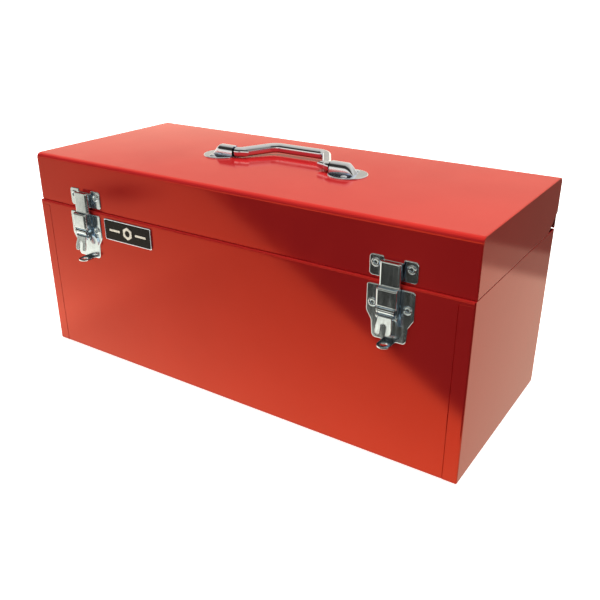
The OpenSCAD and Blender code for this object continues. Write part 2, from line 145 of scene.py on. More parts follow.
def shell(outer, inner, keep=None, wrapCols=False):
    # two grids of one shape become the two skins of a sheet, and every free edge gets a rim between them
    rows, cols = outer.shape[:2]
    quads = gridFaces(rows, cols, wrapCols=wrapCols)
    if keep is not None:
        quads = quads[keep.ravel()]
    count = rows * cols
    walk = np.concatenate([quads[:, [i, (i + 1) % 4]] for i in range(4)])
    there = walk[:, 0] * count + walk[:, 1]
    back = walk[:, 1] * count + walk[:, 0]
    free = walk[~np.isin(there, back)]
    rim = np.stack([free[:, 1], free[:, 0], free[:, 0] + count, free[:, 1] + count], 1)
    pts = np.concatenate([outer.reshape(-1, 3), inner.reshape(-1, 3)])
    return pts, np.concatenate([quads, quads[:, ::-1] + count, rim]).tolist()


def rings(loops, capStart=True, capEnd=True, wrapRows=False):
    # closed loops joined one to the next, with the first and last filled in
    rows, cols = loops.shape[:2]
    faces = gridFaces(rows, cols, wrapRows=wrapRows, wrapCols=True).tolist()
    if capStart and not wrapRows:
        faces.append(list(range(cols))[::-1])
    if capEnd and not wrapRows:
        faces.append(list(range((rows - 1) * cols, rows * cols)))
    return loops.reshape(-1, 3), faces


def folded(corners, radii, thick, xs, steps=8):
    # folded sheet: a bent line in the Y-Z plane, thickened to its left and carried along X
    line = filleted(corners, radii, steps=steps)
    inner = line - lineNormals(line) * thick
    xs = np.asarray(xs, float)

    def carry(flat):
        grid = np.zeros((len(xs), len(flat), 3))
        grid[:, :, 0] = xs[:, None]
        grid[:, :, 1:] = flat[None]
        return grid

    return shell(carry(line), carry(inner))


def stamping(loop, depth, rim, toSpace, rimBack=0.12):
    # flat stamping: its outline rises from the back and rolls over a quarter circle of radius rim,
    # and a narrow flat border keeps the face inside it flat
    border = 0.2
    n = lineNormals(loop, True)
    area = 0.5 * np.sum(loop[:, 0] * np.roll(loop[:, 1], -1) - np.roll(loop[:, 0], -1) * loop[:, 1])
    n = n * (1 if area > 0 else -1)
    a = np.linspace(0, math.pi / 2, 5)
    inset = np.concatenate([[rimBack, 0], rim * (1 - np.cos(a)), [rim + border]])
    height = np.concatenate([[0, rimBack], depth - rim + rim * np.sin(a), [depth]])
    flat = loop[None] - n[None] * inset[:, None, None]
    return rings(toSpace(flat, np.broadcast_to(height[:, None], flat.shape[:2])))


def onFront(y, x=0):
    # drawing plane facing the front: first value along X, second up, height towards the viewer
    return lambda p, h: np.stack([p[..., 0] + x, y - h, p[..., 1]], -1)


def onSide(x, way):
    # drawing plane facing an end: first value along Y, second up, height along X
    return lambda p, h: np.stack([x + way * h, p[..., 0], p[..., 1]], -1)


def onTop(z):
    # drawing plane facing up
    return lambda p, h: np.stack([p[..., 0], p[..., 1], z + h], -1)


def turned(profile, centre, axis, count=40):
    # turned part: rows of (radius, height along the axis) go round it
    a = np.linspace(0, 2 * math.pi, count, endpoint=False)
    r = profile[:, 0][:, None]
    grid = np.zeros((len(profile), count, 3))
    other = [i for i in range(3) if i != abs(axis) - 1]
    grid[:, :, other[0]] = r * np.cos(a)
    grid[:, :, other[1]] = r * np.sin(a)
    grid[:, :, abs(axis) - 1] = np.sign(axis) * profile[:, 1][:, None]
    return rings(grid + np.asarray(centre, float))


def mirrored(part):
    # the same part on the other side of the box's middle
    pts, faces = part
    return pts * [-1, 1, 1], [f[::-1] for f in faces]


def onSideOf(side, parts):
    # parts are drawn for the right-hand side, and mirrored for the left
    return parts if side > 0 else [mirrored(p) for p in parts]


def shifted(part, x):
    # the same part carried along X
    return part[0] + [x, 0, 0], part[1]


def makePiece(name, parts, body, slot, stands=(), soft=0.0, segments=2, corner=35, material=None):
    # joins parts into one piece, closes its seams, turns every face outwards and rounds sharp edges by soft;
    # edges that turn by more than corner degrees stay sharp
    points, faces, start = [], [], 0
    for pts, quads in parts:
        points.append(pts)
        faces += [[i + start for i in q] for q in quads]
        start += len(pts)
    mesh = bpy.data.meshes.new(name)
    mesh.from_pydata((np.concatenate(points) * mm).tolist(), [], faces)
    work = bmesh.new()
    work.from_mesh(mesh)
    bmesh.ops.remove_doubles(work, verts=work.verts, dist=1e-6)
    bmesh.ops.recalc_face_normals(work, faces=work.faces)
    work.to_mesh(mesh)
    work.free()
    mesh.shade_smooth()
    mesh.set_sharp_from_angle(angle=math.radians(corner))
    piece = bpy.data.objects.new(name, mesh)
    bpy.context.scene.collection.objects.link(piece)
    if soft > 0:
        bevel = piece.modifiers.new("softEdges", "BEVEL")
        bevel.width = soft * mm
        bevel.segments = segments
        bevel.limit_method = "ANGLE"
        bevel.angle_limit = math.radians(corner)
        bevel.harden_normals = True
    # flat faces keep their own normal next to a rounded edge
    flatten = piece.modifiers.new("flatFaces", "WEIGHTED_NORMAL")
    flatten.keep_sharp = True
    mesh.materials.append(material or finish[slot])
    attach(piece, body)
    if stands:
        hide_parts(*stands)
    return piece


class Paint:
    # a new material with a Principled shader and helpers for its pattern nodes
    def __init__(self, name, **constants):
        self.material = bpy.data.materials.new(name)
        self.material.use_nodes = True
        self.nodes = self.material.node_tree.nodes
        self.links = self.material.node_tree.links
        self.shader = self.nodes["Principled BSDF"]
        for key, value in constants.items():
            self.shader.inputs[key.replace("_", " ")].default_value = value
        coords = self.nodes.new("ShaderNodeTexCoord")
        self.place = coords.outputs["Object"]

    def stretched(self, scale, turn=(0, 0, 0)):
        mapping = self.nodes.new("ShaderNodeMapping")
        mapping.inputs["Scale"].default_value = scale
        mapping.inputs["Rotation"].default_value = turn
        self.links.new(self.place, mapping.inputs["Vector"])
        return mapping.outputs["Vector"]

    def noise(self, scale, detail=2.0, rough=0.5, vector=None):
        node = self.nodes.new("ShaderNodeTexNoise")
        node.inputs["Scale"].default_value = scale
        node.inputs["Detail"].default_value = detail
        node.inputs["Roughness"].default_value = rough
        self.links.new(vector or self.place, node.inputs["Vector"])
        return node.outputs["Fac"]

    def ramp(self, source, stops):
        node = self.nodes.new("ShaderNodeValToRGB")
        while len(node.color_ramp.elements) < len(stops):
            node.color_ramp.elements.new(0.5)
        for element, (at, value) in zip(node.color_ramp.elements, stops):
            element.position = at
            element.color = value if len(value) == 4 else (*value, 1)
        self.links.new(source, node.inputs["Fac"])
        return node.outputs["Color"]

    def span(self, source, low, high, fromLow=0.0, fromHigh=1.0):
        node = self.nodes.new("ShaderNodeMapRange")
        for key, value in (("From Min", fromLow), ("From Max", fromHigh), ("To Min", low), ("To Max", high)):
            node.inputs[key].default_value = value
        self.links.new(source, node.inputs["Value"])
        return node.outputs["Result"]

    def bump(self, source, strength, depth, under=None):
        node = self.nodes.new("ShaderNodeBump")
        node.inputs["Strength"].default_value = strength
        node.inputs["Distance"].default_value = depth
        self.links.new(source, node.inputs["Height"])
        if under:
            self.links.new(under, node.inputs["Normal"])
        return node.outputs["Normal"]

    def feed(self, key, source):
        self.links.new(source, self.shader.inputs[key])


def redEnamel():
    # gloss enamel: a deep red ground that tints its own shine, and a thin clear skin with slight orange peel
    look = dict(ground=(0.60, 0.022, 0.026), lighter=(0.66, 0.027, 0.029), tint=(1.0, 0.075, 0.0, 1.0))
    p = Paint("redEnamel", IOR=2.6, Specular_IOR_Level=0.5, Specular_Tint=look["tint"],
              Coat_Weight=0.12, Coat_Roughness=0.03, Coat_IOR=1.45)
    cloud = p.noise(9.0, 3.0)
    p.feed("Base Color", p.ramp(cloud, [(0.35, look["ground"]), (0.68, look["lighter"])]))
    p.feed("Roughness", p.span(p.noise(38.0, 4.0, 0.6), 0.08, 0.14, 0.3, 0.7))
    peel = p.bump(p.noise(900.0, 1.0), 0.05, 0.0001)
    p.feed("Normal", p.bump(p.noise(14.0, 1.0), 0.03, 0.0008, peel))
    return p.material


def brightNickel():
    # bright nickel plate: slightly warm green grey with faint drawing lines and hazy patches
    p = Paint("brightNickel", Metallic=1.0, Specular_IOR_Level=0.5)
    haze = p.noise(160.0, 4.0, 0.6)
    p.feed("Base Color", p.ramp(haze, [(0.3, (0.54, 0.65, 0.76)), (0.7, (0.65, 0.77, 0.89))]))
    lines = p.noise(60.0, 2.0, 0.5, p.stretched((6.0, 6.0, 0.7)))
    p.feed("Roughness", p.span(lines, 0.09, 0.22, 0.3, 0.7))
    p.feed("Normal", p.bump(p.noise(420.0, 2.0), 0.10, 0.0002))
    return p.material


def brightChrome():
    # chrome plate: nearly mirror, cool, with a little unevenness from the casting below
    p = Paint("brightChrome", Metallic=1.0)
    p.feed("Base Color", p.ramp(p.noise(120.0, 3.0), [(0.3, (0.67, 0.76, 0.99)), (0.7, (0.73, 0.82, 1.0))]))
    p.feed("Roughness", p.span(p.noise(90.0, 3.0), 0.05, 0.13, 0.3, 0.7))
    p.feed("Normal", p.bump(p.noise(150.0, 2.0), 0.06, 0.0004))
    return p.material


def zincSteel():
    # zinc plated steel: matt grey with cloudy crystals
    p = Paint("zincSteel", Metallic=1.0)
    spangle = p.noise(240.0, 5.0, 0.65)
    p.feed("Base Color", p.ramp(spangle, [(0.3, (0.42, 0.43, 0.45)), (0.7, (0.60, 0.61, 0.62))]))
    p.feed("Roughness", p.span(spangle, 0.28, 0.46, 0.3, 0.7))
    p.feed("Normal", p.bump(spangle, 0.12, 0.0001))
    return p.material


def blackEnamel():
    # gloss black enamel insert
    p = Paint("blackEnamel", Specular_IOR_Level=0.12, Coat_Weight=0.05, Coat_Roughness=0.05)
    cloud = p.noise(200.0, 2.0)
    p.feed("Base Color", p.ramp(cloud, [(0.3, (0.006, 0.007, 0.008)), (0.7, (0.012, 0.012, 0.014))]))
    p.feed("Roughness", p.span(p.noise(300.0, 2.0), 0.16, 0.30, 0.3, 0.7))
    p.feed("Normal", p.bump(p.noise(500.0, 1.0), 0.05, 0.0001))
    return p.material


def whiteFoil():
    # pale silver foil of the raised emblem
    p = Paint("whiteFoil", Metallic=0.55)
    p.feed("Base Color", p.ramp(p.noise(260.0, 2.0), [(0.3, (0.84, 0.84, 0.83)), (0.7, (0.93, 0.93, 0.92))]))
    p.feed("Roughness", p.span(p.noise(400.0, 2.0), 0.22, 0.36, 0.3, 0.7))
    return p.material


finish = {"red_paint": redEnamel(), "bright_nickel": brightNickel(), "chrome_plate": brightChrome(),
          "zinc_steel": zincSteel(), "black_enamel": blackEnamel()}
emblemFoil = whiteFoil()
for sub in frame["record"]["subparts"]:
    node = frame["nodes"][sub["node"]]
    node.data.materials.clear()
    node.data.materials.append(finish[sub["material_slot"]])
print("materials made")


def redPiece(name, parts, body, stands, soft=0.25, segments=2):
    return makePiece(name, parts, body, "red_paint", stands, soft, segments)


bodySize = dict(bend=2.0, flange=13.5, flangeTop=boxRim - 4.6, gap=0.6, joggle=0.5, lipY=lidFront + 1.4,
                lipTop=wrapHigh[2], backTop=boxRim - 2.9, panBend=1.6)


def bodyWrap():
    # front, bottom and back are one strip; near each end it steps in by a sheet's thickness,
    # so that the end's flange lies flush over it
    s = bodySize
    radii = [0, 0.5, s["bend"], 0, 0, s["bend"], s["bend"], 0]
    stepTop = s["flangeTop"] + 0.4

    def line(step):
        front, back = boxFront + step, boxBack - step
        return filleted([(s["lipY"], s["lipTop"]), (s["lipY"], boxRim), (boxFront, boxRim),
                         (boxFront, stepTop), (front, stepTop - step),
                         (front, step), (back, step), (back, s["backTop"])], radii)

    far = boxEnd - sheetT
    near = boxEnd - s["flange"] - s["gap"]
    xs = np.array([-far, -near - s["joggle"], -near, 0, near, near + s["joggle"], far])
    inward = np.array([1, 1, 0, 0, 0, 1, 1]) * sheetT
    lines = [line(step) for step in inward]
    outer = np.zeros((len(xs), len(lines[0]), 3))
    outer[:, :, 0] = xs[:, None]
    inner = outer.copy()
    outer[:, :, 1:] = np.stack(lines)
    inner[:, :, 1:] = np.stack([p - lineNormals(p) * sheetT for p in lines])
    return redPiece("bodyWrap", [shell(outer, inner)], "body", ["body_wrap"], 0.2)


def bodyEnd(side, name, node):
    # end pan: a plan line round front flange, end and back flange, carried up; its foot turns under
    s = bodySize
    r = s["panBend"]
    plan = filleted([(boxEnd - s["flange"], boxFront), (boxEnd, boxFront), (boxEnd, boxBack),
                     (boxEnd - s["flange"], boxBack)], [0, r, r, 0])
    n = lineNormals(plan)
    a = np.linspace(math.pi / 2, 0, 6)
    outD = np.concatenate([[s["flange"]], r - r * np.cos(a), [0, 0]])
    outZ = np.concatenate([[0], r - r * np.sin(a), [s["flangeTop"], boxRim]])
    inD = np.concatenate([[s["flange"]], r - (r - sheetT) * np.cos(a), [sheetT, sheetT]])
    inZ = np.concatenate([[sheetT], r - (r - sheetT) * np.sin(a), [s["flangeTop"], boxRim]])

    def carry(d, z):
        grid = np.zeros((len(d), len(plan), 3))
        grid[:, :, :2] = plan[None] - n[None] * d[:, None, None]
        grid[:, :, 2] = z[:, None]
        return grid

    endFace = (n[:-1, 0] > 0.99) & (n[1:, 0] > 0.99)
    outside = ((n[:-1, 0] > 0.3) & (n[1:, 0] > 0.3)) | ((n[:-1, 1] > 0.3) & (n[1:, 1] > 0.3))
    keep = np.ones((len(outD) - 1, len(plan) - 1), bool)
    keep[0] = endFace
    keep[-1] = outside
    part = shell(carry(outD, outZ), carry(inD, inZ), keep)
    return redPiece(name, onSideOf(side, [part]), "body", [node], 0.2)


bodyWrap()
bodyEnd(1, "bodyEndRight", "body_end_right")
bodyEnd(-1, "bodyEndLeft", "body_end_left")


def trayRest(side, name, node):
    # tray rest: an angle bent from sheet, its ledge on top and its leg down the end panel
    low, high = edges("tray_rest_right")
    line = [(low[0], high[2]), (high[0], high[2]), (high[0], low[2])]
    bent = filleted(line, [0, 1.4, 0])
    inner = bent + lineNormals(bent) * sheetT
    ys = np.array([low[1], high[1]])

    def carry(flat):
        grid = np.zeros((2, len(flat), 3))
        grid[:, :, 0] = flat[None, :, 0]
        grid[:, :, 1] = ys[:, None]
        grid[:, :, 2] = flat[None, :, 1]
        return grid

    part = shell(carry(bent), carry(inner))
    return redPiece(name, onSideOf(side, [part]), "body", [node], 0.2)


trayRest(1, "trayRestRight", "tray_rest_right")
trayRest(-1, "trayRestLeft", "tray_rest_left")
print("body made")


lidSize = dict(bend=5.5, rim=0.75, low=lidLow[2], wallLow=boxRim + 3.0, cutY=25.0, cutZ=16.0,
               cutR=2.0, cornerR=1.2, flange=9.0, frontRise=9.5)


def lidWrap():
    # lid strip: front, top and back with large round bends
    s = lidSize
    line = [(lidFront, s["low"]), (lidFront, lidTop), (lidBack, lidTop), (lidBack, s["wallLow"])]
    far = boxEnd - sheetT
    part = folded(line, [0, s["bend"], s["bend"], 0], -sheetT, [-far, 0, far], steps=14)
    return redPiece("lidWrap", [part], "lid", ["lid_wrap"], 0.3, 3)


def lidEnd(side, name, node):
    # lid cap: a flat stamping flush with the wrap, and a flange bent in under it
    s = lidSize
    low, plane = s["low"], boxEnd - sheetT
    loop = filleted([(lidFront, low), (lidFront, lidTop), (lidBack, lidTop), (lidBack, low + s["cutZ"]),
                     (lidBack - s["cutY"], low)],
                    [s["cornerR"], s["bend"], s["bend"], s["cutR"], s["cutR"]], True, 10)
    cap = stamping(loop, sheetT, s["rim"], onSide(plane, 1))
    front, back, top = lidFront + sheetT, lidBack - sheetT, lidTop - sheetT
    bend = s["bend"] - sheetT
    flange = folded([(front, low + s["frontRise"]), (front, top), (back, top), (back, low)],
                    [0, bend, bend, 0], -sheetT, [plane - s["flange"], plane + 0.1])
    return redPiece(name, onSideOf(side, [cap, flange]), "lid", [node], 0.0)


lidWrap()
lidEnd(1, "lidEndRight", "lid_end_right")
lidEnd(-1, "lidEndLeft", "lid_end_left")
print("lid made")


bracketLow = edges("handle_bracket_right")[0]
handleSize = dict(pivotY=0.5, pivotUp=5.5, rise=1.5, span=54.0, grip=32.5, reach=35.0, topBend=14.0,
                  elbowBend=9.0, radius=5.0, squareness=2.5, pin=2.9, pinEnd=bracketLow[0] + 15.0)


def handleGrip():
    # bent bar: a rounded-square ring carried along a filleted line, thinning to a pin at each end
    s = handleSize
    line = filleted([(-s["pinEnd"], 0), (-s["span"], 0), (-s["grip"], s["reach"]), (s["grip"], s["reach"]),
                     (s["span"], 0), (s["pinEnd"], 0)],
                    [0, s["elbowBend"], s["topBend"], s["topBend"], s["elbowBend"], 0], steps=20)
    stop = bracketLow[0] - 0.9
    extra = np.array([[stop + 0.02, 0], [stop, 0], [stop - 0.35, 0], [stop - 0.9, 0]])
    line = np.concatenate([line[:1], extra * [-1, 1], line[1:-1], extra[::-1], line[-1:]])
    across = lineNormals(line)
    radius = np.full(len(line), s["radius"])
    radius[[0, 1, -1, -2]] = s["pin"]
    radius[[2, -3]] = s["radius"] - 0.9
    radius[[3, -4]] = s["radius"] - 0.3
    a = np.linspace(0, 2 * math.pi, 48, endpoint=False)
    power = 2 / s["squareness"]
    c = np.sign(np.cos(a)) * np.abs(np.cos(a)) ** power
    u = np.sign(np.sin(a)) * np.abs(np.sin(a)) ** power
    isPin = np.isclose(radius, s["pin"])[:, None]
    c = np.where(isPin, np.cos(a), c)
    u = np.where(isPin, np.sin(a), u)
    flat = line[:, None] + across[:, None] * (c * radius[:, None])[:, :, None]
    up = u * radius[:, None]
    lean = math.asin(s["rise"] / s["reach"])
    grid = np.stack([flat[..., 0], s["pivotY"] + flat[..., 1] * math.cos(lean) - up * math.sin(lean),
                     lidTop + s["pivotUp"] + flat[..., 1] * math.sin(lean) + up * math.cos(lean)], -1)
    return makePiece("handleGrip", [rings(grid)], "handle", "chrome_plate",
                     ["handle_grip"], 0.0, corner=50)


bracketSize = dict(foot=20.0, footT=1.4, rim=0.8, centre=18.0, bridge=18.0, slope=9.0, half=6.4, wall=1.3,
                   power=0.72)


def handleBracket(side, name, node):
    # bracket: a round foot with a rolled rim, cut straight at its inner end, and an arch over the pin
    # that slopes down to the foot; across, the arch is a rounded box |y|^n + |z|^n = 1
    s = bracketSize
    x0 = bracketLow[0]
    cx = x0 + s["centre"]
    y0 = handleSize["pivotY"]
    start = math.acos(s["centre"] / s["foot"])
    a = np.linspace(-math.pi + start, math.pi - start, 61)
    loop = np.stack([cx + s["foot"] * np.cos(a), y0 + s["foot"] * np.sin(a)], 1)
    foot = stamping(loop, s["footT"], s["rim"], onTop(lidTop))
    t = np.concatenate([np.linspace(0, 1, 5), 1 + np.linspace(0.08, 1, 12)])
    xs = x0 + np.where(t <= 1, t * s["bridge"], s["bridge"] + (t - 1) * s["slope"])
    fall = np.clip(t - 1, 0, 1)
    high = handleSize["pivotUp"] + s["half"] - s["footT"]
    height = high * (1 - fall ** 1.6)
    half = s["half"] * (1 - 0.25 * fall)
    v = np.linspace(-math.pi / 2, math.pi / 2, 33)

    def arch(inset):
        h = np.maximum(height - inset, 0.02)[:, None]
        w = (half - inset)[:, None]
        y = w * np.sign(np.sin(v)) * np.abs(np.sin(v)) ** s["power"]
        z = h * np.abs(np.cos(v)) ** s["power"]
        return np.stack([np.broadcast_to(xs[:, None], y.shape), y0 + y, lidTop + s["footT"] - 0.1 + z], -1)

    parts = onSideOf(side, [foot, shell(arch(0), arch(s["wall"]))])
    return makePiece(name, parts, "lid", "chrome_plate", [node], 0.25, 3, corner=50)


rivetSize = dict(head=3.2, headUp=1.35, shank=1.6, clinch=2.6)


def bracketRivets():
    # four domed rivet heads with a short clinched tail under the doubler
    s = rivetSize
    low, high = edges("handle_bracket_rivets")
    reach = high[0] - s["head"]
    dy = (high[1] - low[1]) / 2 - s["head"]
    a = np.linspace(0, math.pi / 2, 7)
    dome = np.stack([s["head"] * np.cos(a), s["headUp"] * np.sin(a)], 1)
    tail = high[2] - low[2] - bracketSize["footT"]
    below = [[0.01, -tail], [s["clinch"] - 0.3, -tail], [s["clinch"], -tail + 0.4], [s["clinch"], -tail + 1],
             [s["shank"], -tail + 1], [s["shank"], 0], [s["head"] - 0.1, 0]]
    profile = np.concatenate([below, dome[:-1], [[0.01, s["headUp"] + 0.03]]])
    parts = [turned(profile, (sx * reach, handleSize["pivotY"] + sy * dy, lidTop + bracketSize["footT"]), 3)
             for sx in (-1, 1) for sy in (-1, 1)]
    return makePiece("bracketRivets", parts, "lid", "chrome_plate",
                     ["handle_bracket_rivets"], 0.0, corner=50)


handleGrip()
handleBracket(1, "handleBracketRight", "handle_bracket_right")
handleBracket(-1, "handleBracketLeft", "handle_bracket_left")
bracketRivets()


def handleDoubler():
    # plate under the lid's top that the bracket rivets pull on
    low, high = edges("handle_doubler")
    corners = [(low[0], low[1]), (high[0], low[1]), (high[0], high[1]), (low[0], high[1])]
    loop = filleted(corners, [4] * 4, True)
    part = stamping(loop, high[2] - low[2], 0.3, onTop(low[2]))
    return makePiece("handleDoubler", [part], "lid", "zinc_steel", ["handle_doubler"])


handleDoubler()
print("handle made")


latchX = np.mean([e[0] for e in edges("latch_base_right")])
latchSize = dict(half=22.3, t=1.1, rim=0.8, top=170.5, waist=145.0, foot=121.0, tab=119.4,
                 pivotY=boxFront - 7, pivotZ=151.5, linkY=boxFront - 6.5, linkZ=145.5,
                 cheekIn=6.9, cheekT=1.2, cheekR=3.4, cheekBend=3.3,
                 eyeY=boxFront - 8.7, eyeHole=3.3, eyeR=6.4, eyeT=1.8, eyeRim=0.5, rivetZ=153.5)


def bothSides(half):
    # a half outline, from the middle round to the middle, and its mirror image walked back
    return half + [(-a, b) for a, b in half[::-1]]


def eyeRing(s):
    # padlock eye: a ring whose outer edge is a half circle in front and runs square into the plate behind
    a = np.linspace(0, 2 * math.pi, 64, endpoint=False)
    c, n = np.cos(a), np.sin(a)
    back = boxFront - s["t"] / 2 - s["eyeY"]
    reach = np.where(n < 0, s["eyeR"], 1 / np.maximum(np.abs(c) / s["eyeR"], np.maximum(n, 1e-6) / back))
    rim = s["eyeRim"]
    k = np.linspace(0, math.pi / 2, 4)
    inset = np.concatenate([rim * (1 - np.sin(k)), rim * (1 - np.cos(k))])
    height = np.concatenate([rim * (1 - np.cos(k)), s["eyeT"] - rim + rim * np.sin(k)])
    outer = np.stack([(reach[None] - inset[:, None]) * c, (reach[None] - inset[:, None]) * n], -1)
    hole = s["eyeHole"] + inset[::-1][:, None]
    inner = np.stack([hole * c, hole * n], -1)
    flat = np.concatenate([outer, inner])
    up = np.concatenate([height, height[::-1]])
    grid = np.stack([flat[..., 0], s["eyeY"] + flat[..., 1],
                     np.broadcast_to((s["tab"] + up)[:, None], flat.shape[:2])], -1)
    return rings(grid, wrapRows=True)


def latchBase(x, name, node):
    # base plate: wings, a waist and a narrow foot, two cheeks that carry the pivot, and the padlock eye
    s = latchSize
    foot, eyeR = s["foot"], s["eyeR"]
    half = [(eyeR, s["tab"]), (eyeR, foot), (14.5, foot), (16.3, foot + 3), (17.4, 137),
            (s["half"], s["waist"]), (s["half"], s["top"])]
    bends = [1.2, 1.2, 3.0, 3.0, 5.0, 5.0, 2.4]
    loop = filleted(bothSides(half), bends + bends[::-1], True, 6)
    plate = stamping(loop, s["t"], s["rim"], onFront(boxFront))
    root, tip = boxFront - 0.6, s["pivotY"] - s["cheekR"]
    low, high = s["pivotZ"] - s["cheekR"], s["pivotZ"] + s["cheekR"]
    cheek = filleted([(root, high), (tip, high), (tip, low), (root, low)],
                     [0, s["cheekBend"], s["cheekBend"], 0], True)
    right = stamping(cheek, s["cheekT"], 0.35, onSide(s["cheekIn"], 1))
    parts = [plate, right, mirrored(right), eyeRing(s)]
    return makePiece(name, [shifted(p, x) for p in parts], "body", "bright_nickel", [node])


eyeletSize = dict(ring=2.8, roll=1.3, rollUp=1.25, shank=1.6, clinch=2.6, spread=16.2)


def eyelets(name, node, y, z, body):
    # four eyelet rivets: a rolled ring round a shallow hollow, a shank through the sheets and a clinched foot
    s = eyeletSize
    grip = latchSize["t"] + sheetT
    a = np.linspace(0, math.pi, 9)
    roll = np.stack([s["ring"] + s["roll"] * np.cos(a), 0.15 + s["rollUp"] * np.sin(a)], 1)
    hollow = [[0.01, -0.9], [1.35, -0.8], [1.45, 0.1]]
    below = [[s["ring"] + s["roll"], 0.0], [s["shank"], -0.01], [s["shank"], -grip],
             [s["clinch"], -grip - 0.05], [s["clinch"], -grip - 0.7], [s["clinch"] - 0.3, -grip - 1.0],
             [0.01, -grip - 1.0]]
    profile = np.concatenate([hollow, roll[::-1], below])
    parts = [turned(profile, (x + dx, y, z), -2, 36)
             for x in (-latchX, latchX) for dx in (-s["spread"], s["spread"])]
    return makePiece(name, parts, body, "bright_nickel", [node], corner=50)


strikeSize = dict(half=22.3, low=176.3, top=195.5, rivetZ=188.5, ear=9.0, block=7.5, blockLow=177.0,
                  blockHigh=192.0, front=boxFront - 3.4, bend=1.6)


def latchStrike(x, name, node):
    # strike: an eared plate with a box-shaped catch pressed up in its middle
    s = strikeSize
    t = latchSize["t"]
    low, high = s["blockLow"], s["blockHigh"]
    left = [(-s["ear"], high + 0.3), (-s["ear"], s["top"]), (-s["half"], s["top"]), (-s["half"], s["low"])]
    bends = [0.8, 2.4, 3.2, 3.2]
    outline = filleted(bothSides(left), bends + bends[::-1], True)
    plate = stamping(outline, t, latchSize["rim"], onFront(lidFront))
    root = lidFront - t / 2
    loop = filleted(bothSides([(-s["block"], root), (-s["block"], s["front"])]), [0, s["bend"], s["bend"], 0])
    inner = loop - lineNormals(loop) * t
    zs = np.array([low, low + 1, high - 1, high])

    def carry(flat):
        grid = np.zeros((len(zs), len(flat), 3))
        grid[:, :, :2] = flat[None]
        grid[:, :, 2] = zs[:, None]
        return grid

    block = shell(carry(loop), carry(inner))
    inside = s["block"] - 0.8
    cover = filleted(bothSides([(-inside, lidFront - t), (-inside, s["front"] + 0.8)]), [0, 1, 1, 0], True)
    parts = [plate, block, stamping(cover, t, 0.3, onTop(high - t))]
    return makePiece(name, [shifted(p, x) for p in parts], "lid", "bright_nickel", [node], 0.2)


clawSize = dict(half=9.5, fold=2.6, wall=1.0, armR=3.6, low=155.5, step=171.5, high=193.4,
                lower=boxFront - 10.5, upper=boxFront - 5.6, back=boxFront - 1.9)


def latchClaw(x, name, node):
    # claw: a channel folded from sheet; its front stands out further below the step, and its sides
    # run down past the front to a round end on the link pin
    s = clawSize
    lower, upper, back = s["lower"], s["upper"], s["back"]
    low, step, high = s["low"], s["step"], s["high"]
    linkY, linkZ = latchSize["linkY"], latchSize["linkZ"]
    a = np.linspace(-math.pi / 2, 0, 7)[:-1]
    armUp, armOut = s["armR"] * np.sin(a), s["armR"] * np.cos(a)
    armFront, armBack = linkY - s["armR"], linkY + s["armR"]
    # each row: height, where the front is and where the back edge is
    rows = np.concatenate([
        np.stack([linkZ + armUp, linkY - armOut, linkY + armOut], 1),
        [[linkZ, armFront, armBack], [low - 1.2, armFront, armBack],
         [low, lower + 1.2, back], [low + 0.35, lower + 0.35, back], [low + 1.2, lower, back],
         [step - 1.6, lower, back], [step - 0.6, lower + 0.3, back], [step, lower + 1.2, back],
         [step + 0.5, upper - 0.6, back], [step + 1.4, upper, back], [high - 1.4, upper, back],
         [high - 0.4, upper + 0.4, back], [high, upper + 1.3, back]]])
    zs, front, rear = rows[:, 0], rows[:, 1], rows[:, 2]
    side = np.linspace(0, 1, 4)
    turn = np.linspace(0, math.pi / 2, 6)[1:]

    def skin(inset, depth):
        # section: the side wall from its back edge forwards, a quarter-circle fold, and the same mirrored
        r = max(s["fold"] - inset, 0.3)
        wallX = s["half"] - inset
        foldY = front[:, None] + depth + r
        ys = np.concatenate([rear[:, None] + (foldY - rear[:, None]) * side, foldY - r * np.sin(turn)], 1)
        ys = np.minimum(ys, rear[:, None])
        xs = np.concatenate([np.full(len(side), wallX), wallX - r + r * np.cos(turn)])
        xs = np.broadcast_to(np.concatenate([xs, -xs[::-1]]), (len(zs), 2 * len(xs)))
        ys = np.concatenate([ys, ys[:, ::-1]], 1)
        return np.stack([xs, ys, np.broadcast_to(zs[:, None], xs.shape)], -1)

    outer, inner = skin(0, 0), skin(s["wall"], latchSize["t"])
    # under the front plate only the two arms go on down
    keep = np.ones((len(zs) - 1, outer.shape[1] - 1), bool)
    keep[zs[:-1] < low - 1.5, 3:-3] = False
    keep[(zs[:-1] >= low - 1.5) & (zs[:-1] < low), 6:-6] = False
    part = shell(outer, inner, keep)
    body = "claw_" + node.split("_")[-1]
    return makePiece(name, [shifted(part, x)], body, "bright_nickel", [node], 0.15, 2, corner=40)


def barrel(half, radius, y, z):
    # rolled barrel along X with softened ends
    end = np.array([[0.01, half], [radius - 0.7, half], [radius - 0.2, half - 0.2], [radius, half - 0.8]])
    return turned(np.concatenate([end * [1, -1], end[::-1]]), (0, y, z), 1, 36)


leverSize = dict(reach=15.0, t=1.5, rim=0.6, fork=2.6, slotTop=9.6, wide=7.5, narrow=6.6, tilt=13.0,
                 pivotR=3.4, linkR=2.9)


